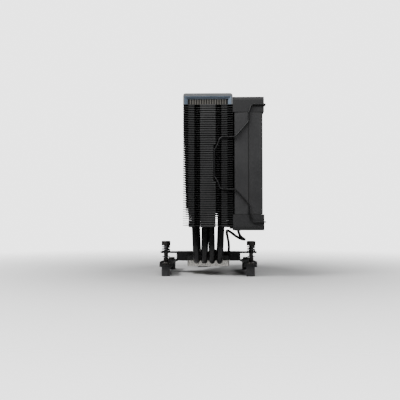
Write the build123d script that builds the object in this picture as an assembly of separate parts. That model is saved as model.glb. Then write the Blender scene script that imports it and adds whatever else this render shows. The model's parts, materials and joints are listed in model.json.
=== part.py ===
from build123d import *
import math
import os

# Tower cooler for a processor: one fin stack on four heat pipes, with one 120 mm fan.
# Origin: the board's top face, under the centre of the processor.
# +Z is up from the board, and +X runs from the fin stack to the fan. Y is the fins' width.
# All sizes are in millimetres.

# ---- processor and board
CONTACT_Z = 7.5                 # the cold plate's contact face above the board
BOARD_HOLES = 78.0              # square hole pattern round the socket
TAPPED_R = 1.25                 # M3 tapping drill
SCREW_R = 1.2                   # M3 core, drawn just inside its tapped hole
CLEAR_R = 1.7                   # a screw's clearance hole

# ---- base
PLATE_SIDE = 40.0
PLATE_HIGH = 5.5
COVER_HIGH = 4.5
PIPE_LINE_Z = CONTACT_Z + PLATE_HIGH
COVER_TOP = PIPE_LINE_Z + COVER_HIGH
PLATE_CORNER = 1.5
BAR_SCREW_X = 7.2               # the two screws that hold the crossbar to the base
BOSS_R = 2.6

# ---- heat pipes
PIPE_R = 3.0
PIPE_GAP = 0.03                 # solder gap round a pipe
PIPE_Y = 38.0                   # where the legs stand
PIPE_BEND_R = 15.0
BASE_PIPE_X = (-10.8, -3.6, 3.6, 10.8)
FIN_PIPE_X = (-12.1, -3.1, 3.1, 12.1)

# ---- fins
FIN_COUNT = 54
FIN_PITCH = 2.04
FIN_THICK = 0.45
FIN_TOP = 155.0
FIN_LOW = FIN_TOP - FIN_THICK - (FIN_COUNT - 1) * FIN_PITCH
FIN_X = 22.3                    # half the depth
FIN_Y = 60.0                    # half the width
CENTRE_STRIP = 6.9              # half the width of the folded centre strip
CHANNEL_OUT = 12.1              # the channel ends and the outer strip begins
OUTER_STRIP = 17.4              # the outer strip's far edge
CHANNEL_DEEP = 3.5
FIN_WAIST = 1.2                 # depth of the shallow recess in the edge away from the fan
FOLD_GAP = 0.85                 # a folded flange stops this far above the next fin
TAB_Y = 54.0                    # spacer tabs stand this far from the middle
TAB_GAP = 0.06
CLIP_SEAT_X = 4.9               # the centre strip is cut back to here for the clip
CLIP_SEAT_HALF = 15.2           # half the height of that cut

# ---- top cover
COVER_X = 22.2
COVER_TALL = 10.0
COVER_WALL = 2.0
COVER_ROUND = 2.2
TRIM_OUT_X = 21.0
TRIM_IN_X = 18.1
TRIM_OUT_UP = 7.4               # above the top fin
TRIM_IN_UP = 4.9
TRIM_DEEP = 2.4
RIB_COUNT = 15
RIB_PITCH = 2.24
RIB_WIDE = 1.1
RIB_PROUD = 0.5
PIPE_END_UP = 3.5               # the pipes' ends above the top fin
TIP_HIGH = 2.0

# ---- fan
FAN_SIDE = 120.0
FAN_THICK = 25.0
FAN_X0 = 23.85                  # the face towards the fins
FAN_X1 = FAN_X0 + FAN_THICK
FAN_XC = FAN_X0 + FAN_THICK / 2
FAN_Z = 102.2                   # height of the fan's axis
HOLE_OFF = 52.5                 # 105 mm hole pattern
HOLE_R = 2.25
RIDGE = 0.5                     # the side walls fall away this much from their middle
DUCT_R = 57.5
DUCT_WALL = 2.0
SIDE_WALL = 2.0
FLANGE = 3.0
NOTCH_AT = 45.6                 # the corner notches begin here, from the axis
PAD_GAP = 0.2
PAD_PROUD = 1.3
PAD_ROUND = 3.5
EAR_X = (31.0, 41.0)
EAR_SIDE = 57.5

# ---- motor
HUB_R = 20.5
HUB_X = (29.6, 47.4)
HUB_WALL = 1.5
BLADES = 9
BLADE_TIP_R = 56.8
MOTOR_BASE_R = 20.0
MOTOR_BASE_X1 = 27.35
CUP_R = 18.9                    # the steel cup pressed into the hub
CUP_WALL = 0.9
CUP_X = (30.2, 45.8)
MAGNET_R = (15.8, 17.95)
MAGNET_X = (30.6, 43.0)
SLEEVE_R = 3.0
SLEEVE_X = (28.6, 40.9)
TOWER_R = 4.5                   # the tube on the motor base that holds the sleeve
TOWER_X1 = 41.0
CORE_X = (32.6, 39.4)
POLES = 4
POLE_SHOE_R = (13.2, 15.0)
BOARD_X = (28.2, 29.3)
BOARD_R = 15.0
STRUT_WIDE = 4.2
STRUTS = 4
STRUT_TURN = -8.0               # degrees, so that the lowest strut meets the cable's way out
SHAFT_R = 1.5
RUNNING = 0.05                  # running clearance on the radius

# ---- fan clips
WIRE_R = 0.65
WIRE_Y = FIN_Y + WIRE_R + 0.4   # the wire runs this far from the middle
CLIP_PIVOT_X = FAN_X1 + PAD_PROUD + WIRE_R + 0.4

# ---- crossbar and spring screws
BAR_UNDER = CONTACT_Z + 11.6
BAR_SHEET = 1.5
BAR_TOP = BAR_UNDER + BAR_SHEET
BAR_HALF = 47.6
BAR_WIDE = 18.0
BAR_FLANGE_HALF = 31.0
BAR_FLANGE_LOW = CONTACT_Z + 4.5
SCREW_X = 42.0
BARREL_R = 2.1
BAR_HOLE_R = BARREL_R + 0.1
HEAD_R = 4.4
HEAD_Z = (27.0, 30.9)
SEAT_HIGH = 0.5
SPRING_R = 3.65                 # to the middle of the wire
SPRING_WIRE_R = 0.5
SPRING_TURNS = 2.8
RING_Z = 15.3
RING_HIGH = 0.6
BARREL_LOW = 14.8

# ---- rails
RAIL_Z = (8.5, 10.5)
RAIL_WIDE = 12.0
POST_R = 2.5
POST_TOP = 14.5
STANDOFF_R = 4.0
RAIL_TAPPED_R = 1.65            # the standoffs' upper ends take M4 screws
RAIL_SCREW_R = 1.6
RAIL_CLEAR_R = 2.2
TAP_DEEP = 3.6

# ---- fan cable
CABLE_R = 1.4
CABLE_X = 29.7
CABLE_Y = 8.2
GROMMET_LOW = FAN_Z - FAN_SIDE / 2 - 1.4
PLUG_SIZE = (10.4, 12.0, 5.8)
CABLE_ROUTE = [
    (29.7, 8.2, 40.8),
    (30.8, 8.7, 36.4),
    (34.0, 11.4, 33.4),
    (36.5, 16.2, 32.0),
    (36.7, 22.4, 31.6),
    (33.2, 27.6, 32.0),
    (28.2, 30.2, 34.8),
    (23.0, 33.2, 38.9),
    (19.4, 39.0, 41.0),
    (18.8, 45.8, 38.9),
    (20.2, 50.4, 32.8),
    (21.6, 53.2, 25.2),
    (21.4, 56.2, 16.6),
    (19.4, 61.8, 8.4),
    (17.8, 70.4, 3.1),
    (17.0, 81.0, 1.5),
    (18.4, 92.4, 1.5),
    (16.4, 103.4, 1.5),
    (8.6, 110.6, 1.5),
    (-1.6, 109.8, 1.5),
    (-8.4, 102.0, 1.5),
    (-10.0, 91.6, 1.5),
    (-8.6, 81.6, 1.5),
]


def box_between(low, high):
    """A box from its lowest corner to its highest."""
    size = [b - a for a, b in zip(low, high)]
    return Pos(*low) * Box(*size, align=(Align.MIN, Align.MIN, Align.MIN))


def up_cylinder(x, y, radius, low, high):
    """A cylinder that stands at (x, y) between two heights."""
    along = (Align.CENTER, Align.CENTER, Align.MIN)
    return Pos(x, y, low) * Cylinder(radius, high - low, align=along)


def fan_cylinder(radius, x0, x1, y=0.0, z=0.0):
    """A cylinder along X between x0 and x1, placed from the fan's axis."""
    along = (Align.CENTER, Align.CENTER, Align.MIN)
    return Pos(x0, y, FAN_Z + z) * Rot(0, 90, 0) * Cylinder(radius, x1 - x0, align=along)


def across_fan(sketch, x0, x1):
    """Extrudes a sketch drawn in the fan's face, its x along Y and its y along Z, from x0 to x1."""
    plane = Plane(origin=(x0, 0, FAN_Z), x_dir=(0, 1, 0), z_dir=(1, 0, 0))
    return extrude(plane * sketch, amount=x1 - x0)


def along_y(sketch, y0, y1):
    """Extrudes a sketch drawn in X and Z from y0 to y1."""
    plane = Plane(origin=(0, y1, 0), x_dir=(1, 0, 0), z_dir=(0, -1, 0))
    return extrude(plane * sketch, amount=y1 - y0)


def sweep_round(path, radius):
    """A round bar along a path."""
    return sweep(Plane(path @ 0, z_dir=path % 0) * Circle(radius), path)


def save(name, shape):
    export_step(shape, f"parts/{name}.step")


# ------------------------------------------------------------------ base

def pipe_path(fin_x, base_x):
    """The middle of one heat pipe: down one leg, through the base and up the other."""
    top = FIN_TOP + PIPE_END_UP
    points = [
        (fin_x, -PIPE_Y, top),
        (fin_x, -PIPE_Y, FIN_LOW - 2),
        (base_x, -PIPE_Y, PIPE_LINE_Z),
        (base_x, PIPE_Y, PIPE_LINE_Z),
        (fin_x, PIPE_Y, FIN_LOW - 2),
        (fin_x, PIPE_Y, top),
    ]
    return FilletPolyline(*points, radius=[40.0, PIPE_BEND_R, PIPE_BEND_R, 40.0])


def heat_pipe(fin_x, base_x):
    pipe = sweep_round(pipe_path(fin_x, base_x), PIPE_R)
    for y in (-PIPE_Y, PIPE_Y):
        tip = Cone(PIPE_R, 1.2, TIP_HIGH, align=(Align.CENTER, Align.CENTER, Align.MIN))
        pipe += Pos(fin_x, y, FIN_TOP + PIPE_END_UP) * tip
    return pipe


def pipe_channels():
    """The four channels that the base holds its pipes in."""
    channels = []
    for x in BASE_PIPE_X:
        bore = Cylinder(PIPE_R + PIPE_GAP, PLATE_SIDE + 2)
        channels.append(Pos(x, 0, PIPE_LINE_Z) * Rot(90, 0, 0) * bore)
    return channels


def cold_plate():
    plate = extrude(RectangleRounded(PLATE_SIDE, PLATE_SIDE, PLATE_CORNER), amount=PLATE_HIGH)
    return Pos(0, 0, CONTACT_Z) * plate - pipe_channels()


def base_cover():
    cover = extrude(RectangleRounded(PLATE_SIDE, PLATE_SIDE, PLATE_CORNER), amount=COVER_HIGH)
    cover = Pos(0, 0, PIPE_LINE_Z) * cover - pipe_channels()
    for x in (-BAR_SCREW_X, BAR_SCREW_X):
        cover += up_cylinder(x, 0, BOSS_R, COVER_TOP - 0.2, BAR_UNDER)
        cover -= up_cylinder(x, 0, TAPPED_R, COVER_TOP - 1.2, BAR_UNDER + 1)
    return cover


# ------------------------------------------------------------------ fins

def fin_outline(seat):
    """One fin's outline. A seat fin is cut back at the centre strip, where the clip lies."""
    strip = CLIP_SEAT_X if seat else CENTRE_STRIP
    floor = FIN_Y - CHANNEL_DEEP
    edge = [
        (-FIN_X, FIN_Y), (-CHANNEL_OUT, FIN_Y), (-CHANNEL_OUT, floor), (-CENTRE_STRIP, floor),
        (-CENTRE_STRIP, FIN_Y), (strip, FIN_Y), (strip, floor), (CHANNEL_OUT, floor),
        (CHANNEL_OUT, FIN_Y), (FIN_X, FIN_Y),
    ]
    bare = FIN_WAIST - FIN_X
    waist = [
        (-FIN_X, -50.0), (bare, -47.0), (bare, -9.0), (-FIN_X, -6.0),
        (-FIN_X, 6.0), (bare, 9.0), (bare, 47.0), (-FIN_X, 50.0),
    ]
    return edge + [(x, -y) for x, y in reversed(edge)] + waist


def fin(seat):
    """One fin at height zero, with its folded flanges and, behind them, the tabs that set the pitch."""
    face = make_face(Polyline(*fin_outline(seat), close=True))
    holes = [Pos(x, y) * Circle(PIPE_R + PIPE_GAP) for x in FIN_PIPE_X for y in (-PIPE_Y, PIPE_Y)]
    sheet = extrude(face - holes, amount=FIN_THICK)
    fold_high = FIN_PITCH - FIN_THICK - FOLD_GAP
    tab_high = FIN_PITCH - FIN_THICK - TAB_GAP
    inner = CLIP_SEAT_X if seat else CENTRE_STRIP
    three_strips = ((-OUTER_STRIP, -CHANNEL_OUT), (-CENTRE_STRIP, inner), (CHANNEL_OUT, OUTER_STRIP))
    to_the_fan = ((-OUTER_STRIP, -CHANNEL_OUT), (-CENTRE_STRIP, inner), (CHANNEL_OUT, FIN_X))
    far_tabs = ((-OUTER_STRIP, inner), (CHANNEL_OUT, FIN_X))
    rows = (
        (-FIN_Y, fold_high, three_strips), (FIN_Y - FIN_THICK, fold_high, to_the_fan),
        (-TAB_Y, tab_high, to_the_fan), (TAB_Y, tab_high, far_tabs),
    )
    for y0, high, spans in rows:
        for x0, x1 in spans:
            sheet += box_between((x0, y0, -high), (x1, y0 + FIN_THICK, FIN_THICK / 2))
    return sheet


def cooling_fins():
    plain = fin(False)
    seated = fin(True)
    stack = []
    for i in range(FIN_COUNT):
        z = FIN_LOW + i * FIN_PITCH
        by_clip = -CLIP_SEAT_HALF < z - FAN_Z < CLIP_SEAT_HALF + FIN_PITCH
        stack.append(Pos(0, 0, z) * (seated if by_clip else plain))
    return Compound(children=stack)


# ------------------------------------------------------------------ top cover

def end_window(x, up):
    """The opening in an end of the cover: from the top fin up to a height, x to each side."""
    return Pos(0, FIN_TOP + up / 2) * Rectangle(2 * x, up)


def both_ends(piece):
    """A piece of the cover's near end and its twin at the far end."""
    return Compound(children=[piece, Rot(0, 0, 180) * piece])


def top_cover():
    outline = Pos(0, FIN_TOP + COVER_TALL / 2) * Rectangle(2 * COVER_X, COVER_TALL)
    top_corners = outline.vertices().group_by(Axis.Y)[-1]
    body = along_y(fillet(top_corners, COVER_ROUND), -FIN_Y, FIN_Y)
    inside = (COVER_X - COVER_WALL, FIN_Y - 4.6, FIN_TOP + COVER_TALL - COVER_WALL)
    body -= box_between((-inside[0], -inside[1], FIN_TOP - 1), inside)
    window = end_window(TRIM_OUT_X, TRIM_OUT_UP)
    body -= along_y(window, -FIN_Y - 1, -FIN_Y + TRIM_DEEP + 1.2)
    body -= along_y(window, FIN_Y - TRIM_DEEP - 1.2, FIN_Y + 1)
    pipe_ends = [(x, y) for x in FIN_PIPE_X for y in (-PIPE_Y, PIPE_Y)]
    pipe_room = FIN_TOP + PIPE_END_UP + TIP_HIGH + 0.4
    body += [up_cylinder(x, y, PIPE_R + 1.2, FIN_TOP + 0.3, inside[2] + 0.2) for x, y in pipe_ends]
    body -= [up_cylinder(x, y, PIPE_R + 0.05, FIN_TOP, pipe_room) for x, y in pipe_ends]
    return body - top_grooves()


def top_grooves():
    """Shallow grooves that divide the cover's top into square tiles."""
    pitch, wide, deep = 5.0, 0.8, 0.6
    top = FIN_TOP + COVER_TALL
    grooves = []
    for i in range(-3, 5):
        x = (i - 0.5) * pitch
        grooves.append(box_between((x - wide / 2, -55.4, top - deep), (x + wide / 2, 55.4, top + 1)))
    for i in range(-11, 12):
        y = i * pitch
        grooves.append(box_between((-17.9, y - wide / 2, top - deep), (17.9, y + wide / 2, top + 1)))
    return grooves


def cover_trim():
    """The bevelled band round an end window, for both ends."""
    fit = 0.05
    outer = end_window(TRIM_OUT_X - fit, TRIM_OUT_UP - fit)
    inner = end_window(TRIM_IN_X, TRIM_IN_UP)
    band = along_y(outer - inner, -FIN_Y + 0.1, -FIN_Y + TRIM_DEEP)
    mouth = Plane(origin=(0, -FIN_Y + 0.05, 0), x_dir=(1, 0, 0), z_dir=(0, -1, 0))
    throat = Plane(origin=(0, -FIN_Y + TRIM_DEEP - 0.5, 0), x_dir=(1, 0, 0), z_dir=(0, -1, 0))
    wide = end_window(TRIM_OUT_X - 0.4, TRIM_OUT_UP - 0.4)
    band -= loft([mouth * wide, throat * inner])
    return both_ends(band)


def cover_grille():
    """The ribbed insert behind an end window's trim, for both ends."""
    back_y = -FIN_Y + TRIM_DEEP + 0.05
    plate = along_y(end_window(TRIM_OUT_X - 0.1, TRIM_OUT_UP - 0.1), back_y, back_y + 1.0)
    for i in range(RIB_COUNT):
        x = (i - (RIB_COUNT - 1) / 2) * RIB_PITCH
        low = (x - RIB_WIDE / 2, back_y - RIB_PROUD, FIN_TOP + 0.05)
        plate += box_between(low, (x + RIB_WIDE / 2, back_y + 0.2, FIN_TOP + TRIM_IN_UP - 0.1))
    return both_ends(plate)


# ------------------------------------------------------------------ fan frame

def ridged_outline(half):
    """A fan side seen end on: the wall stands out a little in the middle of its depth."""
    low = half - RIDGE
    points = [
        (FAN_X0, -low), (FAN_XC, -half), (FAN_X1, -low),
        (FAN_X1, low), (FAN_XC, half), (FAN_X0, low),
    ]
    return make_face(Polyline(*points, close=True))


def corner_squares(start, end):
    """Squares at the fan's four corners, from start to end off the axis, both ways."""
    side = end - start
    middle = (start + end) / 2
    return [Pos(y, z) * Rectangle(side, side) for y in (-middle, middle) for z in (-middle, middle)]


def strut(turn):
    """One strut from the motor base to the duct wall, turned about the fan's axis."""
    length = DUCT_R + 1.0 - (MOTOR_BASE_R - 1)
    bar = Pos(0, -(MOTOR_BASE_R - 1) - length / 2) * Rectangle(STRUT_WIDE, length)
    return across_fan(Rot(0, 0, turn) * bar, FAN_X0 + 0.3, MOTOR_BASE_X1)


def lead_channel():
    """The channel that the cable's wires lie in, along the lowest strut."""
    channel = Pos(0, -36.0) * Rectangle(2.6, 44.0)
    return across_fan(Rot(0, 0, -STRUT_TURN) * channel, MOTOR_BASE_X1 - 1.6, MOTOR_BASE_X1 + 1)


def fan_frame():
    half = FAN_SIDE / 2
    across = extrude(ridged_outline(half), amount=half, both=True)
    upright = Rot(90, 0, 0) * across
    frame = Pos(0, 0, FAN_Z) * (across & upright)
    frame -= fan_cylinder(DUCT_R, FAN_X0 - 1, FAN_X1 + 1)
    frame -= across_fan(Sketch() + corner_squares(NOTCH_AT, half + 1), FAN_X0 - 1, FAN_X1 + 1)
    inner = 2 * (half - SIDE_WALL)
    pocket = Rectangle(inner, inner) - Circle(DUCT_R + DUCT_WALL)
    pocket -= corner_squares(NOTCH_AT - SIDE_WALL, half)
    frame -= across_fan(pocket, FAN_X0 - 1, FAN_X1 - FLANGE)
    ears = Sketch() + corner_squares(NOTCH_AT - 1, EAR_SIDE)
    frame += across_fan(ears, *EAR_X)
    for y in (-HOLE_OFF, HOLE_OFF):
        for z in (-HOLE_OFF, HOLE_OFF):
            frame -= fan_cylinder(HOLE_R, FAN_X0, FAN_X1, y, z)
    mouth = Cone(DUCT_R, DUCT_R + 1.6, 2.4, align=(Align.CENTER, Align.CENTER, Align.MIN))
    frame -= Pos(FAN_X1 - 2.3, 0, FAN_Z) * Rot(0, 90, 0) * mouth
    frame += fan_cylinder(MOTOR_BASE_R, FAN_X0 + 0.3, MOTOR_BASE_X1)
    for i in range(STRUTS):
        frame += strut(-STRUT_TURN + i * 360 / STRUTS)
    frame += fan_cylinder(TOWER_R, MOTOR_BASE_X1 - 1, TOWER_X1)
    frame -= fan_cylinder(SLEEVE_R + RUNNING, 25.4, TOWER_X1 + 1)
    frame -= lead_channel()
    grommet_hole = up_cylinder(CABLE_X, CABLE_Y, 2.2, GROMMET_LOW - 1, FAN_Z - DUCT_R + 3)
    return frame - grommet_hole


def corner_pad(up, side):
    """The pad over one corner of the frame: up and side are each 1 or -1."""
    start = NOTCH_AT + PAD_GAP
    half = FAN_SIDE / 2
    square = Pos((start + half) / 2, (start + half) / 2) * Rectangle(half - start, half - start)
    outer_corner = square.vertices().sort_by(Axis.X)[-2:].sort_by(Axis.Y)[-1]
    square = fillet(outer_corner, PAD_ROUND)
    pad = across_fan(square, FIN_X + 0.05, FAN_X1 + PAD_PROUD)
    ear = Rectangle(2 * EAR_SIDE + 0.1, 2 * EAR_SIDE + 0.1)
    pad -= across_fan(ear, EAR_X[0] - 0.05, EAR_X[1] + 0.05)
    pad -= fan_cylinder(HOLE_R, FIN_X - 1, FAN_X1 + 3, HOLE_OFF, HOLE_OFF)
    if side < 0:
        pad = mirror(pad, about=Plane.XZ)
    if up < 0:
        pad = mirror(pad, about=Plane.XY.offset(FAN_Z))
    return pad


# ------------------------------------------------------------------ rotor and motor

def blade_section(radius, chord, pitch, sweep_turn, thick):
    """A blade's thin curved section, on a plane that faces outwards at this radius."""
    plane = Plane(origin=(0, 0, radius), x_dir=(1, 0, 0), z_dir=(0, 0, 1))
    half = chord / 2
    bow = chord * 0.09
    lower = ThreePointArc((-half, 0), (0, bow), (half, 0))
    upper = ThreePointArc((half, thick * 0.6), (0, bow + thick), (-half, thick * 0.6))
    ends = [Line(lower @ 1, upper @ 0), Line(upper @ 1, lower @ 0)]
    outline = make_face([lower, upper, *ends])
    return Rot(sweep_turn, 0, 0) * (plane * (Rot(0, 0, pitch) * outline))


def blade():
    middle = (BLADE_TIP_R + HUB_R) / 2
    sections = [
        blade_section(HUB_R - 1.0, 17.0, 40.0, 0.0, 1.9),
        blade_section(middle, 24.0, 50.0, -7.0, 1.6),
        blade_section(BLADE_TIP_R + 1.2, 29.0, 59.0, -16.0, 1.3),
    ]
    return loft(sections)


def impeller():
    """The hub cup, open towards the motor, with its blades."""
    blank = blade()
    blades = []
    for i in range(BLADES):
        blades.append(Pos(FAN_XC + 1.2, 0, FAN_Z) * Rot(i * 360 / BLADES, 0, 0) * blank)
    wheel = fan_cylinder(HUB_R, *HUB_X) + blades
    envelope = fan_cylinder(BLADE_TIP_R, HUB_X[0] - 1.4, FAN_X1 - 0.6)
    wheel = wheel & envelope
    wheel -= fan_cylinder(HUB_R - HUB_WALL, HUB_X[0] - 2, HUB_X[1] - HUB_WALL)
    wheel += fan_cylinder(3.4, 43.0, HUB_X[1] - HUB_WALL / 2)
    return wheel - fan_cylinder(SHAFT_R, 40.0, 46.6)


def rotor_cup():
    cup = fan_cylinder(CUP_R, *CUP_X) - fan_cylinder(CUP_R - CUP_WALL, CUP_X[0] - 1, CUP_X[1] - 0.8)
    return cup - fan_cylinder(3.5, CUP_X[1] - 2, CUP_X[1] + 1)


def rotor_magnet():
    inner, outer = MAGNET_R
    return fan_cylinder(outer, *MAGNET_X) - fan_cylinder(inner, MAGNET_X[0] - 1, MAGNET_X[1] + 1)


def rotor_shaft():
    shaft = fan_cylinder(SHAFT_R, 26.4, 46.5)
    groove = fan_cylinder(SHAFT_R + 1, 27.6, 28.1) - fan_cylinder(1.1, 27.0, 29.0)
    return shaft - groove


def shaft_retainer():
    return fan_cylinder(2.4, 27.65, 28.05) - fan_cylinder(1.12, 27.0, 29.0)


def bearing_sleeve():
    sleeve = fan_cylinder(SLEEVE_R, *SLEEVE_X)
    return sleeve - fan_cylinder(SHAFT_R + RUNNING, SLEEVE_X[0] - 1, SLEEVE_X[1] + 1)


def stator_core():
    """The laminated core: a ring with four arms and their pole shoes."""
    ring = fan_cylinder(7.0, *CORE_X)
    shoes = Circle(POLE_SHOE_R[1]) - Circle(POLE_SHOE_R[0])
    for i in range(POLES):
        turn = i * 360 / POLES
        ring += across_fan(Rot(0, 0, 45 + turn) * Pos(10, 0) * Rectangle(8, 4.0), *CORE_X)
        shoes -= Rot(0, 0, turn) * Pos(14, 0) * Rectangle(6, 4.4)
    core = ring + across_fan(shoes, *CORE_X)
    return core - fan_cylinder(TOWER_R + RUNNING, CORE_X[0] - 1, CORE_X[1] + 1)


def stator_coils():
    """One winding round each arm of the core."""
    coils = []
    for i in range(POLES):
        place = Rot(0, 0, 45 + i * 360 / POLES) * Pos(9.9, 0)
        outer = across_fan(place * Rectangle(4.8, 8.0), CORE_X[0] - 1.6, CORE_X[1] + 1.6)
        arm = across_fan(place * Rectangle(9, 4.1), CORE_X[0] - 0.05, CORE_X[1] + 0.05)
        coils.append(outer - arm)
    return Compound(children=coils)


def motor_board():
    """The control board, with a chip and a capacitor on it."""
    back, front = BOARD_X
    board = fan_cylinder(BOARD_R, back, front) - fan_cylinder(TOWER_R + RUNNING, back - 1, front + 1)
    board += across_fan(Pos(0, 9) * Rectangle(4.0, 2.6), front, front + 0.8)
    return board + across_fan(Pos(9, 0) * Rectangle(1.8, 3.2), front, front + 0.7)


# ------------------------------------------------------------------ fan clips

def fan_clip():
    """The near clip: a bent wire from one hole of the fan, along the fins and back to another."""
    half = [
        (CLIP_PIVOT_X - 4.6, -HOLE_OFF, HOLE_OFF),
        (CLIP_PIVOT_X, -HOLE_OFF, HOLE_OFF),
        (CLIP_PIVOT_X, -WIRE_Y, HOLE_OFF),
        (39.1, -WIRE_Y, HOLE_OFF),
        (36.7, -WIRE_Y, 45.0),
        (36.5, -WIRE_Y, 37.2),
        (24.5, -WIRE_Y, 23.4),
        (11.2, -WIRE_Y, 23.4),
        (8.8, -60.4, 16.6),
        (5.9, -59.3, 12.0),
    ]
    bends = [1.6, 1.6, 3.0, 4.0, 4.0, 4.0, 4.0, 3.0, 3.0]
    lower = [(x, y, -z) for x, y, z in reversed(half)]
    path = FilletPolyline(*half, *lower, radius=bends + bends[::-1])
    return Pos(0, 0, FAN_Z) * sweep_round(path, WIRE_R)


# ------------------------------------------------------------------ crossbar and spring screws

def crossbar():
    """A channel-shaped bar over the base, with an ear for a spring screw at each end."""
    web = Rectangle(2 * BAR_FLANGE_HALF, BAR_WIDE) + SlotOverall(2 * BAR_HALF, 11.2)
    bar = Pos(0, 0, BAR_UNDER) * extrude(web, amount=BAR_SHEET)
    half = BAR_WIDE / 2
    inner = PLATE_SIDE / 2 + 0.4
    for y0 in (-half, half - BAR_SHEET):
        low = (-BAR_FLANGE_HALF, y0, BAR_FLANGE_LOW)
        flange = box_between(low, (BAR_FLANGE_HALF, y0 + BAR_SHEET, BAR_TOP))
        flange -= box_between((-inner, y0 - 1, BAR_FLANGE_LOW - 1), (inner, y0 + 3, COVER_TOP + 0.05))
        bar += flange
    for x in (-SCREW_X, SCREW_X):
        bar -= up_cylinder(x, 0, BAR_HOLE_R, BAR_UNDER - 1, BAR_TOP + 1)
    for x in (-BAR_SCREW_X, BAR_SCREW_X):
        bar -= up_cylinder(x, 0, CLEAR_R, BAR_UNDER - 1, BAR_TOP + 1)
    return bar


def small_screw(x, y, seat, radius, head_r, head_high, length):
    """A round-headed screw that points down, its head on the height called seat."""
    screw = up_cylinder(x, y, head_r, seat, seat + head_high)
    screw = fillet(screw.edges().sort_by(Axis.Z)[-1], head_high * 0.4)
    screw += up_cylinder(x, y, radius, seat - length, seat + 0.1)
    recess = extrude(Rectangle(head_r * 1.2, 0.8) + Rectangle(0.8, head_r * 1.2), amount=2)
    return screw - Pos(x, y, seat + head_high * 0.45) * recess


def crossbar_screws():
    places = (-BAR_SCREW_X, BAR_SCREW_X)
    return Compound(children=[small_screw(x, 0, BAR_TOP, SCREW_R, 2.8, 1.8, 2.6) for x in places])


def flat_ring(x, low, high, outer, inner):
    return up_cylinder(x, 0, outer, low, high) - up_cylinder(x, 0, inner, low - 1, high + 1)


def seat_washers():
    rings = []
    for x in (-SCREW_X, SCREW_X):
        rings.append(flat_ring(x, BAR_TOP, BAR_TOP + SEAT_HIGH, HEAD_R, BAR_HOLE_R + 0.1))
    return Compound(children=rings)


def screw_spring(x):
    """The compressed spring between the washer on the bar and the cap under the head."""
    low = BAR_TOP + SEAT_HIGH + SPRING_WIRE_R
    high = HEAD_Z[0] - SEAT_HIGH - SPRING_WIRE_R
    path = Helix((high - low) / SPRING_TURNS, high - low, SPRING_R)
    section = Plane(path @ 0, z_dir=path % 0) * Circle(SPRING_WIRE_R)
    return Pos(x, 0, low) * sweep(section, path, is_frenet=True)


def spring_cap(x):
    return flat_ring(x, HEAD_Z[0] - SEAT_HIGH, HEAD_Z[0], HEAD_R - 0.2, BARREL_R + RUNNING)


def spring_screw(x):
    """Head, barrel, groove for the retaining ring and threaded end, shown as a plain pin."""
    head = up_cylinder(x, 0, HEAD_R, *HEAD_Z)
    head = fillet(head.edges().sort_by(Axis.Z)[-1], 0.8)
    screw = head + up_cylinder(x, 0, BARREL_R, BARREL_LOW, HEAD_Z[0] + 0.1)
    screw += up_cylinder(x, 0, 1.45, RAIL_Z[0] + 0.3, BARREL_LOW + 0.1)
    screw -= flat_ring(x, RING_Z - 0.02, RING_Z + RING_HIGH + 0.02, BARREL_R + 1, 1.6)
    recess = extrude(Rectangle(4.6, 1.0) + Rectangle(1.0, 4.6), amount=3)
    return screw - Pos(x, 0, HEAD_Z[1] - 2.2) * recess


def retaining_ring(x):
    ring = flat_ring(x, RING_Z, RING_Z + RING_HIGH, 3.7, 1.62)
    return ring - box_between((x - 1.2, 0, RING_Z - 1), (x + 1.2, 5, RING_Z + 2))


# ------------------------------------------------------------------ rails

def rail(side):
    """A bowed rail along Y: its middle carries the spring screw, its ends the standoffs."""
    hole = BOARD_HOLES / 2
    outline = Sketch()
    for y in (-hole, hole):
        start = Vector(side * hole, y)
        end = Vector(side * SCREW_X, 0)
        middle = (start + end) / 2
        turn = math.degrees(math.atan2(end.Y - start.Y, end.X - start.X))
        reach = (end - start).length
        outline += Pos(middle.X, middle.Y) * Rot(0, 0, turn) * SlotCenterToCenter(reach, RAIL_WIDE)
        outline -= Pos(side * hole, y) * Circle(RAIL_CLEAR_R)
    outline -= Pos(side * SCREW_X, 0) * Circle(POST_R - 0.4)
    return Pos(0, 0, RAIL_Z[0]) * extrude(outline, amount=RAIL_Z[1] - RAIL_Z[0])


def rail_posts():
    """The threaded posts, set in the rails' middles, that the spring screws turn into."""
    posts = []
    for x in (-SCREW_X, SCREW_X):
        post = up_cylinder(x, 0, POST_R, RAIL_Z[1], POST_TOP)
        post += up_cylinder(x, 0, POST_R - 0.42, RAIL_Z[0], RAIL_Z[1] + 0.1)
        posts.append(post - up_cylinder(x, 0, 1.5, RAIL_Z[0] - 1, POST_TOP + 1))
    return Compound(children=posts)


def board_corners():
    hole = BOARD_HOLES / 2
    return [(x, y) for x in (-hole, hole) for y in (-hole, hole)]


def standoffs():
    pillars = []
    for x, y in board_corners():
        pillar = up_cylinder(x, y, STANDOFF_R, 0, RAIL_Z[0])
        pillar -= up_cylinder(x, y, TAPPED_R, -1, TAP_DEEP)
        pillars.append(pillar - up_cylinder(x, y, RAIL_TAPPED_R, RAIL_Z[0] - TAP_DEEP, RAIL_Z[0] + 1))
    return Compound(children=pillars)


def rail_screws():
    screws = [small_screw(x, y, RAIL_Z[1], RAIL_SCREW_R, 3.2, 2.2, 4.8) for x, y in board_corners()]
    return Compound(children=screws)


# ------------------------------------------------------------------ fan cable

def strut_lead():
    """The cable's wires inside the frame: along the lowest strut to the grommet."""
    lead = Pos(0, -36.4) * Rectangle(2.4, 42.6)
    return across_fan(Rot(0, 0, -STRUT_TURN) * lead, MOTOR_BASE_X1 - 1.5, MOTOR_BASE_X1 + 0.4)


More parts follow.
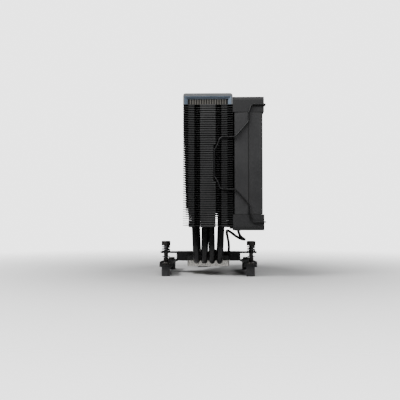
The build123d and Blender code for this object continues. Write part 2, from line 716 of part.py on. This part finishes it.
def cable_grommet():
    """The bush in the fan's lower wall, with a recess that the cable comes out of."""
    bottom = FAN_Z - FAN_SIDE / 2
    bush = up_cylinder(CABLE_X, CABLE_Y, 2.15, bottom - 0.1, FAN_Z - DUCT_R - 0.1)
    bush += up_cylinder(CABLE_X, CABLE_Y, 2.9, GROMMET_LOW, bottom - 0.05)
    return bush - up_cylinder(CABLE_X, CABLE_Y, CABLE_R + 0.5, GROMMET_LOW - 1, GROMMET_LOW + 0.5)


def route_radii(points):
    """The largest arc for each corner that leaves both its runs a straight piece."""
    radii = []
    for a, b, c in zip(points, points[1:], points[2:]):
        before = Vector(*b) - Vector(*a)
        after = Vector(*c) - Vector(*b)
        half_turn = math.radians(before.get_angle(after)) / 2
        radii.append(0.45 * min(before.length, after.length) / math.tan(half_turn))
    return radii


def fan_cable():
    radii = route_radii(CABLE_ROUTE)
    path = FilletPolyline(*CABLE_ROUTE, radius=radii)
    print("cable radii:", [round(r, 1) for r in radii], "length:", round(path.length, 1))
    tube = sweep_round(path, CABLE_R)
    print("cable volume over section times length:", tube.volume / (math.pi * CABLE_R**2 * path.length))
    return tube


def connector_place():
    """Turns a piece drawn along -X, with its cable end at the origin, to the cable's end."""
    end = Vector(*CABLE_ROUTE[-1])
    run = end - Vector(*CABLE_ROUTE[-2])
    turn = math.degrees(math.atan2(run.Y, run.X))
    return Pos(end.X, end.Y, 0) * Rot(0, 0, turn)


def fan_connector():
    """The four-way plug on the cable, lying flat, its sockets facing away from the cable."""
    wide, long, high = PLUG_SIZE
    body = box_between((0, -wide / 2, 0), (long, wide / 2, high))
    body += box_between((3.0, wide / 2 - 0.1, 0.8), (long - 1.0, wide / 2 + 0.7, 2.0))
    body -= box_between((3.0, -wide / 2 - 1, high - 0.9), (long + 1, -wide / 2 + 1.2, high + 1))
    for i in range(4):
        y = (i - 1.5) * 2.54
        body -= box_between((2.0, y - 0.6, 2.3), (long + 1, y + 0.6, 3.5))
    return connector_place() * body


def connector_contacts():
    """The four sprung contacts in the plug's cavities."""
    contacts = []
    for i in range(4):
        y = (i - 1.5) * 2.54
        outer = box_between((2.1, y - 0.55, 2.35), (PLUG_SIZE[1] - 0.6, y + 0.55, 3.45))
        contacts.append(outer - box_between((3.0, y - 0.35, 2.55), (PLUG_SIZE[1], y + 0.35, 3.25)))
    return connector_place() * Compound(children=contacts)


# ------------------------------------------------------------------ everything

def main():
    os.makedirs("parts", exist_ok=True)
    save("cold_plate", cold_plate())
    save("base_cover", base_cover())
    for i, (fin_x, base_x) in enumerate(zip(FIN_PIPE_X, BASE_PIPE_X)):
        save(f"heat_pipe_{i + 1}", heat_pipe(fin_x, base_x))
    save("cooling_fins", cooling_fins())
    save("top_cover", top_cover())
    save("cover_trim", cover_trim())
    save("cover_grille", cover_grille())

    save("fan_frame", fan_frame())
    for up, height in ((1, "top"), (-1, "bottom")):
        for side, place in ((-1, "near"), (1, "far")):
            save(f"fan_pad_{height}_{place}", corner_pad(up, side))
    save("impeller", impeller())
    save("rotor_cup", rotor_cup())
    save("rotor_magnet", rotor_magnet())
    save("rotor_shaft", rotor_shaft())
    save("shaft_retainer", shaft_retainer())
    save("bearing_sleeve", bearing_sleeve())
    save("stator_core", stator_core())
    save("stator_coils", stator_coils())
    save("motor_board", motor_board())

    clip = fan_clip()
    save("fan_clip_near", clip)
    save("fan_clip_far", mirror(clip, about=Plane.XZ))

    save("crossbar", crossbar())
    save("crossbar_screws", crossbar_screws())
    save("seat_washers", seat_washers())
    for side, x in (("left", -SCREW_X), ("right", SCREW_X)):
        save(f"screw_spring_{side}", screw_spring(x))
        save(f"spring_cap_{side}", spring_cap(x))
        save(f"spring_screw_{side}", spring_screw(x))
        save(f"retaining_ring_{side}", retaining_ring(x))
        save(f"rail_{side}", rail(math.copysign(1, x)))
    save("rail_posts", rail_posts())
    save("standoffs", standoffs())
    save("rail_screws", rail_screws())

    save("strut_lead", strut_lead())
    save("cable_grommet", cable_grommet())
    save("fan_cable", fan_cable())
    save("fan_connector", fan_connector())
    save("connector_contacts", connector_contacts())


if __name__ == "__main__":
    main()
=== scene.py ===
import json
import math

import bpy
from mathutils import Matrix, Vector


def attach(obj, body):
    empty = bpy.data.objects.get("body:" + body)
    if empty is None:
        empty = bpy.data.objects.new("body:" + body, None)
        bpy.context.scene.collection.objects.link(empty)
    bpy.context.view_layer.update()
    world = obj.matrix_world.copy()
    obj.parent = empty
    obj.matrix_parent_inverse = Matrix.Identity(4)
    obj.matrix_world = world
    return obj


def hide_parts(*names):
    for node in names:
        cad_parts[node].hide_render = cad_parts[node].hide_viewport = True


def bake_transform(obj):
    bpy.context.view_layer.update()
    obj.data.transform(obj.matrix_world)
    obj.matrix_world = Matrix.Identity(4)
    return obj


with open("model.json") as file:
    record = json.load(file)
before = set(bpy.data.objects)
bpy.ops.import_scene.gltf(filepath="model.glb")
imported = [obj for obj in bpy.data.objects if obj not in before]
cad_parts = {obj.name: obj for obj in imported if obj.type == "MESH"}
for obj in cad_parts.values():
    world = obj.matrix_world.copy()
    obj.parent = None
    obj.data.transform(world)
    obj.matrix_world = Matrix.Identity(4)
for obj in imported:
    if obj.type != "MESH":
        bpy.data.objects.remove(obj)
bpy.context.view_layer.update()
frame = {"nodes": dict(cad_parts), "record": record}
nodes = frame["nodes"]
MM = 0.001


# ---------------------------------------------------------------- camera, floor and light

CAMERA_PLACE = (0.005, -0.590, 0.05073)
CAMERA_TURN = (math.radians(92.0), 0.0, math.radians(1.298))
CAMERA_LENS = 53.64
AIM = (0.0, 0.0, 0.09)          # a place inside the fins, which all the lights face

SURROUND_LIGHT = 0.055          # what the surround adds to the light on the object
SURROUND_TINT = (0.93, 0.96, 1.0, 1.0)
SURROUND_SHOWN = 3.2            # how bright it looks behind the object
LIGHTS = {                      # place, width and height, watts
    "key": ((-0.32, -0.24, 0.42), (0.20, 0.16), 2.8),
    "side": ((0.36, -0.30, 0.36), (0.20, 0.20), 0.45),
    "top": ((0.04, -0.26, 0.42), (0.30, 0.26), 1.2),
    "back": ((0.46, 0.50, 0.48), (0.5, 0.4), 1.8),
}

FLOOR_RADIUS = 2.4
FLOOR_DROP = -0.0002            # just under the object, so that the two don't share a plane
FLOOR_FADE = (0.09, 0.5)        # the floor fades out between these distances from the origin


def add_camera():
    cam = bpy.data.objects.new("camera", bpy.data.cameras.new("camera"))
    bpy.context.scene.collection.objects.link(cam)
    cam.location = CAMERA_PLACE
    cam.rotation_euler = CAMERA_TURN
    cam.data.lens = CAMERA_LENS
    cam.data.sensor_width = 36.0
    cam.data.clip_start = 0.01
    cam.data.clip_end = 20.0
    bpy.context.scene.camera = cam


def add_light(name, place, size, watts):
    """A soft rectangular lamp that the camera doesn't see."""
    data = bpy.data.lights.new(name, "AREA")
    data.shape = "RECTANGLE"
    data.size, data.size_y = size
    data.energy = watts
    light = bpy.data.objects.new(name, data)
    bpy.context.scene.collection.objects.link(light)
    light.location = place
    light.visible_camera = False
    light.rotation_euler = (Vector(AIM) - Vector(place)).to_track_quat("-Z", "Y").to_euler()


def add_surround():
    """An even pale surround: it lights the object softly, and shows as a white backdrop."""
    world = bpy.data.worlds.new("studio")
    world.use_nodes = True
    tree = world.node_tree
    tree.nodes.clear()
    out = tree.nodes.new("ShaderNodeOutputWorld")
    mix = tree.nodes.new("ShaderNodeMixShader")
    path = tree.nodes.new("ShaderNodeLightPath")
    soft = tree.nodes.new("ShaderNodeBackground")
    soft.inputs["Color"].default_value = SURROUND_TINT
    soft.inputs["Strength"].default_value = SURROUND_LIGHT
    white = tree.nodes.new("ShaderNodeBackground")
    white.inputs["Color"].default_value = (1.0, 1.0, 1.0, 1.0)
    white.inputs["Strength"].default_value = SURROUND_SHOWN
    tree.links.new(path.outputs["Is Camera Ray"], mix.inputs[0])
    tree.links.new(soft.outputs[0], mix.inputs[1])
    tree.links.new(white.outputs[0], mix.inputs[2])
    tree.links.new(mix.outputs[0], out.inputs["Surface"])
    bpy.context.scene.world = world


# ---------------------------------------------------------------- material building blocks

class Look:
    """A Principled material, with short calls for the nodes that feed it."""

    def __init__(self, name, colour, rough, metal=0.0, spec=0.5):
        self.mat = bpy.data.materials.new(name)
        self.mat.use_nodes = True
        self.tree = self.mat.node_tree
        self.shader = self.tree.nodes["Principled BSDF"]
        self.put("Base Color", (*colour, 1.0))
        self.put("Roughness", rough)
        self.put("Metallic", metal)
        self.put("Specular IOR Level", spec)
        self.place = self.node("ShaderNodeTexCoord").outputs["Object"]

    def node(self, kind):
        return self.tree.nodes.new(kind)

    def put(self, socket, value):
        self.shader.inputs[socket].default_value = value

    def join(self, a, b):
        self.tree.links.new(a, b)

    def scaled(self, stretch):
        """The object's coordinates in metres, stretched along its axes."""
        n = self.node("ShaderNodeMapping")
        n.inputs["Scale"].default_value = stretch
        self.join(self.place, n.inputs["Vector"])
        return n.outputs[0]

    def off(self, axis, middle=0.0):
        """The distance to either side of a place on one axis."""
        n = self.node("ShaderNodeSeparateXYZ")
        self.join(self.place, n.inputs[0])
        return self.sum(self.sum(n.outputs[axis], middle, "SUBTRACT"), 0.0, "ABSOLUTE")

    def noise(self, scale, detail=3.0, rough=0.55, vector=None):
        n = self.node("ShaderNodeTexNoise")
        n.inputs["Scale"].default_value = scale
        n.inputs["Detail"].default_value = detail
        n.inputs["Roughness"].default_value = rough
        self.join(vector or self.place, n.inputs["Vector"])
        return n.outputs["Fac"]

    def span(self, fac, low, high, start=0.3, end=0.7):
        """Takes a value from the range start to end over to low to high."""
        n = self.node("ShaderNodeMapRange")
        for socket, value in zip(("From Min", "From Max", "To Min", "To Max"), (start, end, low, high)):
            n.inputs[socket].default_value = value
        self.join(fac, n.inputs["Value"])
        return n.outputs[0]

    def sum(self, a, b, kind="ADD"):
        """Two values, each a number or a socket, put together by a Math node."""
        n = self.node("ShaderNodeMath")
        n.operation = kind
        for i, v in enumerate((a, b)):
            if isinstance(v, (int, float)):
                n.inputs[i].default_value = v
            else:
                self.join(v, n.inputs[i])
        return n.outputs[0]

    def blend(self, fac, a, b):
        """A colour between a and b; each is a colour or a socket."""
        n = self.node("ShaderNodeMix")
        n.data_type = "RGBA"
        self.join(fac, n.inputs["Factor"])
        for socket, v in (("A", a), ("B", b)):
            target = [s for s in n.inputs if s.name == socket and s.type == "RGBA"][0]
            if isinstance(v, tuple):
                target.default_value = (*v, 1.0)
            else:
                self.join(v, target)
        return [s for s in n.outputs if s.type == "RGBA"][0]

    def paint(self, colour):
        self.join(colour, self.shader.inputs["Base Color"])

    def gloss(self, fac, low, high, start=0.3, end=0.7):
        self.join(self.span(fac, low, high, start, end), self.shader.inputs["Roughness"])

    def relief(self, height, deep):
        """Bump of a height field; deep is its height in metres."""
        n = self.node("ShaderNodeBump")
        n.inputs["Distance"].default_value = deep
        self.join(height, n.inputs["Height"])
        self.join(n.outputs[0], self.shader.inputs["Normal"])


# ---------------------------------------------------------------- kinds of surface
# Noise scales are in features a metre, and places and depths in metres.

# Painted shade for the fine line along the fan frame's ridge.
RIDGE_PAINTED_SHADE = (0.008, 0.008, 0.008)
SEAM_DEEP = 0.0003
# Painted shade: the near-black colour of the fins' broad faces and of all deep inside the stack, tabs too,
# where the gaps between the fins are in shade.
FIN_PAINTED_SHADE = (0.004, 0.004, 0.0042)
FIN_OUTER = (0.021, 0.021, 0.0215)
# Distances from the middle of the fins, each from where the colour starts to change to where it has
# changed: the first two mark where the painted shade gives way to the coat's own colour, the last where
# the centre strips' colour gives way to the outer strips'.
FIN_STRIPS = (0.0550, 0.0560)           # along Y, to the folded strips at the fins' sides
FIN_EDGES = (0.0195, 0.0205)            # along X, to the fins' front and back edges
FIN_OUTER_STRIPS = (0.0095, 0.0110)     # along X, from the centre strips to the outer ones


def moulded(name, dark, light, rough, grain=1400.0, spec=0.45, seam=None):
    """Moulded plastic: a fine spark-eroded grain, with slow changes of tone and gloss.

    The last argument places a fine line of painted shade along the side walls' ridge, with a shallow
    bumped dip under it: its place along X and its width.
    """
    look = Look(name, dark, rough, spec=spec)
    slow = look.noise(38.0, 4.0)
    fine = look.noise(grain, 3.0, 0.6)
    both = look.sum(look.sum(slow, 0.6, "MULTIPLY"), look.sum(fine, 0.4, "MULTIPLY"))
    colour = look.blend(look.span(both, 0.0, 1.0, 0.36, 0.64), dark, light)
    look.gloss(both, rough - 0.07, rough + 0.08, 0.35, 0.65)
    if seam:
        place, wide = seam
        # Painted shade: a near-black line along the side walls' ridge, where a crease would be in shade;
        # the bump adds a shallow dip there.
        clear = look.span(look.off("X", place), 0.0, 1.0, wide / 2, wide)
        look.paint(look.blend(clear, RIDGE_PAINTED_SHADE, colour))
        look.relief(look.sum(look.sum(fine, 0.1, "MULTIPLY"), clear), SEAM_DEEP)
    else:
        look.paint(colour)
        look.relief(fine, 0.00003)
    return look.mat


def coated(name, dark, light, rough, grain=900.0, spec=0.5, tone=None):
    """A thin black coat on sheet metal: orange-peel relief and slow changes of gloss."""
    look = Look(name, dark, rough, spec=spec)
    slow = look.noise(55.0, 3.0)
    peel = look.noise(grain, 2.0, 0.5)
    colour = look.blend(look.span(slow, 0.0, 1.0), dark, light)
    # A given recolouring goes over the coat's colour; the fins use it for painted shade between them.
    look.paint(tone(look, colour) if tone else colour)
    look.gloss(look.sum(slow, look.sum(peel, 0.35, "MULTIPLY")), rough - 0.06, rough + 0.09, 0.45, 0.9)
    look.relief(peel, 0.000012)
    return look.mat


def fin_painted_shade_and_tone(look, colour):
    """The fins' colour: painted shade, nearly black, on the broad faces and deep inside the stack, tabs
    too; the coat's own colour on the upright faces at the outside, lightest on the middle strips.
    """
    facing = look.node("ShaderNodeSeparateXYZ")
    look.join(look.node("ShaderNodeTexCoord").outputs["Normal"], facing.inputs[0])
    upright = look.span(look.sum(facing.outputs["Z"], 0.0, "ABSOLUTE"), 1.0, 0.0, 0.4, 0.6)
    by_width = look.span(look.off("Y"), 0.0, 1.0, *FIN_STRIPS)
    by_depth = look.span(look.off("X"), 0.0, 1.0, *FIN_EDGES)
    # Only upright faces at the outside of the stack are clear of the painted shade.
    clear_of_painted_shade = look.sum(upright, look.sum(by_width, by_depth, "MAXIMUM"), "MULTIPLY")
    outer = look.span(look.off("X"), 0.0, 1.0, *FIN_OUTER_STRIPS)
    return look.blend(clear_of_painted_shade, FIN_PAINTED_SHADE, look.blend(outer, colour, FIN_OUTER))


def brushed(name, dark, light, rough, along=(1.0, 1.0, 12.0)):
    """Drawn or turned metal: fine lines, drawn out along one axis by the factors along."""
    look = Look(name, dark, rough, metal=1.0)
    lines = look.noise(900.0, 4.0, 0.6, look.scaled(tuple(1.0 / a for a in along)))
    slow = look.noise(70.0, 3.0)
    both = look.sum(lines, look.sum(slow, 0.5, "MULTIPLY"))
    look.paint(look.blend(look.span(both, 0.0, 1.0, 0.5, 1.0), dark, light))
    look.gloss(lines, rough - 0.05, rough + 0.1)
    look.relief(lines, 0.000006)
    return look.mat


def grooved(name, dark, light, rough, groove_painted_shade, floor_y, rib_y):
    """Ribbed plastic with painted shade in its grooves: by their distance from the middle of Y, the
    grooves' floors are painted dark.
    """
    look = Look(name, dark, rough, spec=0.3)
    slow = look.noise(60.0, 3.0)
    rib = look.blend(look.span(slow, 0.0, 1.0), dark, light)
    # Painted shade: surfaces deep in the grooves take the near-black colour, the ribs' fronts their own.
    look.paint(look.blend(look.span(look.off("Y"), 0.0, 1.0, floor_y, rib_y), groove_painted_shade, rib))
    look.gloss(slow, rough - 0.06, rough + 0.08)
    look.relief(look.noise(1200.0, 3.0, 0.6), 0.00002)
    return look.mat


# Each material slot of the record: how its surface is made, its two tones and its roughness.
SURFACES = {
    "nickel_plate": (brushed, (0.52, 0.50, 0.47), (0.72, 0.70, 0.66), 0.26, dict(along=(1.0, 10.0, 1.0))),
    # The fins' coat is overlaid with painted shade between the fins.
    "black_aluminium": (coated, (0.036, 0.036, 0.0365), (0.046, 0.046, 0.047), 0.42, dict(tone=fin_painted_shade_and_tone)),
    "black_pipe": (coated, (0.004, 0.004, 0.0045), (0.007, 0.0067, 0.0075), 0.3,
                   dict(grain=500.0, spec=0.3)),
    "cover_plastic": (moulded, (0.12, 0.125, 0.13), (0.15, 0.155, 0.16), 0.42, {}),
    # The trim's blue tint is a painted reflection of bluish light on its bevels.
    "trim_blue": (moulded, (0.102, 0.138, 0.188), (0.129, 0.169, 0.225), 0.36, {}),
    # The grille's grooves get painted shade.
    "grille_plastic": (grooved, (0.097, 0.090, 0.080), (0.120, 0.113, 0.102), 0.5,
                       dict(groove_painted_shade=(0.012, 0.011, 0.010), floor_y=0.0577, rib_y=0.0580)),
    # The fan frame gets a line of painted shade along its side walls' ridge.
    "fan_plastic": (moulded, (0.025, 0.025, 0.026), (0.035, 0.035, 0.036), 0.5,
                    dict(seam=(0.03635, 0.0005))),
    "blade_plastic": (moulded, (0.020, 0.020, 0.021), (0.028, 0.028, 0.029), 0.38, {}),
    "pad_rubber": (moulded, (0.017, 0.017, 0.018), (0.024, 0.024, 0.025), 0.68,
                   dict(grain=700.0, spec=0.35)),
    "black_steel": (coated, (0.006, 0.006, 0.0065), (0.011, 0.011, 0.0115), 0.42, dict(spec=0.3)),
    "spring_steel": (brushed, (0.07, 0.07, 0.075), (0.14, 0.14, 0.15), 0.3, {}),
    "screw_steel": (brushed, (0.055, 0.053, 0.052), (0.10, 0.095, 0.09), 0.32, {}),
    "motor_steel": (brushed, (0.38, 0.38, 0.39), (0.46, 0.46, 0.47), 0.36, dict(along=(1.0, 1.0, 3.0))),
    "magnet": (coated, (0.035, 0.035, 0.038), (0.055, 0.055, 0.06), 0.62, {}),
    "winding": (brushed, (0.40, 0.15, 0.06), (0.62, 0.27, 0.12), 0.3, dict(along=(6.0, 1.0, 1.0))),
    "bearing_bronze": (brushed, (0.36, 0.24, 0.10), (0.52, 0.36, 0.17), 0.45, {}),
    "circuit_board": (moulded, (0.012, 0.07, 0.03), (0.02, 0.10, 0.045), 0.35, {}),
    "cable_sleeve": (moulded, (0.010, 0.010, 0.011), (0.020, 0.020, 0.021), 0.6, {}),
    "connector_plastic": (moulded, (0.016, 0.016, 0.017), (0.026, 0.026, 0.027), 0.4, {}),
    "contact_metal": (brushed, (0.55, 0.45, 0.25), (0.75, 0.64, 0.38), 0.25, {}),
    "standoff_plastic": (moulded, (0.018, 0.018, 0.019), (0.028, 0.028, 0.029), 0.42, {}),
}
LOOKS = {slot: make(slot, dark, light, rough, **more)
         for slot, (make, dark, light, rough, more) in SURFACES.items()}


def add_floor():
    """A pale floor that fades into the white surround, so that no horizon shows."""
    place = (0, 0, FLOOR_DROP)
    bpy.ops.mesh.primitive_circle_add(vertices=128, radius=FLOOR_RADIUS, fill_type="NGON", location=place)
    floor = bpy.context.object
    floor.name = "floor"
    look = Look("floor", (0.64, 0.64, 0.64), 0.8)
    soft = look.noise(3.0, 2.0)
    look.paint(look.blend(look.span(soft, 0.0, 1.0), (0.63, 0.63, 0.63), (0.66, 0.66, 0.66)))
    away = look.node("ShaderNodeVectorMath")
    away.operation = "LENGTH"
    look.join(look.place, away.inputs[0])
    look.join(look.span(away.outputs["Value"], 1.0, 0.0, *FLOOR_FADE), look.shader.inputs["Alpha"])
    floor.data.materials.append(look.mat)


# ---------------------------------------------------------------- meshes

def skin(name, rings, slot):
    """A closed smooth piece over a row of rings, each a list of as many points."""
    sides = len(rings[0])
    count = sides * len(rings)
    faces = []
    for i in range(len(rings) - 1):
        for k in range(sides):
            a, b = i * sides + k, i * sides + (k + 1) % sides
            faces.append((a, b, b + sides, a + sides))
    faces.append(tuple(reversed(range(sides))))
    faces.append(tuple(range(count - sides, count)))
    data = bpy.data.meshes.new(name)
    data.from_pydata([point for ring in rings for point in ring], [], faces)
    data.shade_smooth()
    data.materials.append(LOOKS[slot])
    piece = bpy.data.objects.new(name, data)
    bpy.context.scene.collection.objects.link(piece)
    return piece


def turned(k, sides):
    return 2 * math.pi * k / sides


def tube(name, line, radius, sides, slot):
    """A closed tube along a line; radius gives the wall's distance at (length along, angle)."""
    rings = []
    side = None
    along = 0.0
    for i, p in enumerate(line):
        run = (line[min(i + 1, len(line) - 1)] - line[max(i - 1, 0)]).normalized()
        side = run.orthogonal().normalized() if side is None else (side - run * side.dot(run)).normalized()
        up = run.cross(side)
        if i:
            along += (p - line[i - 1]).length
        ring = []
        for k in range(sides):
            turn = turned(k, sides)
            ring.append(p + (side * math.cos(turn) + up * math.sin(turn)) * radius(along, turn))
        rings.append(ring)
    return skin(name, rings, slot)


def resampled(points, step):
    """Points at an even step along a line of points."""
    out = [points[0]]
    left = step
    for a, b in zip(points, points[1:]):
        run = (b - a).length
        at = left
        while at <= run:
            out.append(a.lerp(b, at / run))
            at += step
        left = at - run
    return out


# ---------------------------------------------------------------- the fan's cable

CABLE_ROUTE = [(29.7, 8.2, 40.8), (30.8, 8.7, 36.4), (34, 11.4, 33.4), (36.5, 16.2, 32),
               (36.7, 22.4, 31.6), (33.2, 27.6, 32), (28.2, 30.2, 34.8), (23, 33.2, 38.9), (19.4, 39, 41),
               (18.8, 45.8, 38.9), (20.2, 50.4, 32.8), (21.6, 53.2, 25.2), (21.4, 56.2, 16.6),
               (19.4, 61.8, 8.4), (17.8, 70.4, 3.1), (17, 81, 1.5), (18.4, 92.4, 1.5), (16.4, 103.4, 1.5),
               (8.6, 110.6, 1.5), (-1.6, 109.8, 1.5), (-8.4, 102, 1.5), (-10, 91.6, 1.5),
               (-8.6, 81.6, 1.5)]
CABLE_R = 1.4 * MM
SHRINK_R = 1.49 * MM
SHRINK_STEP = 0.5 * MM
SHRINK_POINTS = 22              # along the shrunk tube, one step apart
STRANDS = 8                     # the braid has this many each way round
BRAID_PITCH = 0.95 * MM         # from one crossing to the next along the cable
BRAID_DEEP = 0.10               # of the cable's radius


def route_line():
    """The cable's middle line, read from the NURBS spline of its route."""
    data = bpy.data.curves.new("cable_line", "CURVE")
    data.dimensions = "3D"
    spline = data.splines.new("NURBS")
    spline.points.add(len(CABLE_ROUTE) - 1)
    for point, (x, y, z) in zip(spline.points, CABLE_ROUTE):
        point.co = (x * MM, y * MM, z * MM, 1.0)
    spline.order_u = 3
    spline.use_endpoint_u = True
    data.resolution_u = 24
    curve = bpy.data.objects.new("cable_line", data)
    line = bpy.data.meshes.new_from_object(curve)
    points = [v.co.copy() for v in line.vertices]
    bpy.data.meshes.remove(line)
    bpy.data.objects.remove(curve)
    bpy.data.curves.remove(data)
    return points


def woven(along, turn):
    """The braided sleeve's radius: strands cross each other in two opposite twists."""
    twist = math.pi * along / BRAID_PITCH
    strand = abs(math.sin(STRANDS / 2 * turn + twist) * math.sin(STRANDS / 2 * turn - twist))
    return CABLE_R * (1.0 - BRAID_DEEP + BRAID_DEEP * min(1.0, 1.6 * strand))


def add_cable():
    """The woven sleeve over the fan's four wires, with shrunk tube where it ends at the plug."""
    line = route_line()
    cable = tube("fan_cable_sleeve", resampled(line, BRAID_PITCH / 5), woven, 4 * STRANDS, "cable_sleeve")
    plug_end = resampled(line[::-1], SHRINK_STEP)[:SHRINK_POINTS]
    shrunk = tube("cable_shrink", plug_end, lambda along, turn: SHRINK_R, 24, "pad_rubber")
    for piece in (cable, shrunk):
        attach(piece, "tower")
    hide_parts("fan_cable")


# ---------------------------------------------------------------- springs and the hub's label

SPRING_X = 42.0 * MM
SPRING_FEET = (21.1 * MM, 26.5 * MM)
SPRING_R = 3.65 * MM
WIRE_R = 0.5 * MM
SPRING_TURNS = 3.2
TURN_STEPS = 40

HUB_FACE = 47.4 * MM            # the hub's outer face along X
HUB_Z = 102.2 * MM              # height of the fan's axis
LABEL_PROFILE = [               # radius and height over the hub, in millimetres
    (16.4, 0.0), (16.4, 0.08), (15.6, 0.12), (15.2, 0.08), (11.0, 0.08), (10.6, 0.12), (10.2, 0.08),
]
LABEL_SIDES = 96


def add_spring(side, x):
    """The spring under a screw's cap, with its end turns closed."""
    low, high = SPRING_FEET[0] + WIRE_R, SPRING_FEET[1] - WIRE_R
    closed = 2.05 * WIRE_R
    middle = (high - low - 2 * closed) / (SPRING_TURNS - 2)
    line = []
    for i in range(round(SPRING_TURNS * TURN_STEPS) + 1):
        n = i / TURN_STEPS
        open_turns = max(0.0, min(n, SPRING_TURNS - 1) - 1)
        closed_turns = min(n, 1.0) + max(0.0, n - SPRING_TURNS + 1)
        z = low + closed_turns * closed + open_turns * middle
        turn = 2 * math.pi * n
        line.append(Vector((x + SPRING_R * math.cos(turn), SPRING_R * math.sin(turn), z)))
    spring = tube(f"spring_{side}", line, lambda along, turn: WIRE_R, 14, "spring_steel")
    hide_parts(f"screw_spring_{side}")
    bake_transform(spring)


def add_hub_label():
    """A blank foil disc with raised rings, stuck on the middle of the hub."""
    rings = []
    for radius, proud in LABEL_PROFILE:
        ring = []
        for k in range(LABEL_SIDES):
            turn = turned(k, LABEL_SIDES)
            y, z = radius * MM * math.cos(turn), radius * MM * math.sin(turn)
            ring.append((HUB_FACE + proud * MM, y, HUB_Z + z))
        rings.append(ring)
    label = skin("hub_label", rings, "motor_steel")
    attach(label, "rotor")


# ---------------------------------------------------------------- the whole

add_camera()
add_cable()
add_surround()
add_floor()
for name, (place, size, watts) in LIGHTS.items():
    add_light(name, place, size, watts)
for part in frame["record"]["subparts"]:
    for held in nodes[part["node"]].material_slots:
        held.material = LOOKS[part["material_slot"]]
for side, x in (("left", -SPRING_X), ("right", SPRING_X)):
    add_spring(side, x)
add_hub_label()
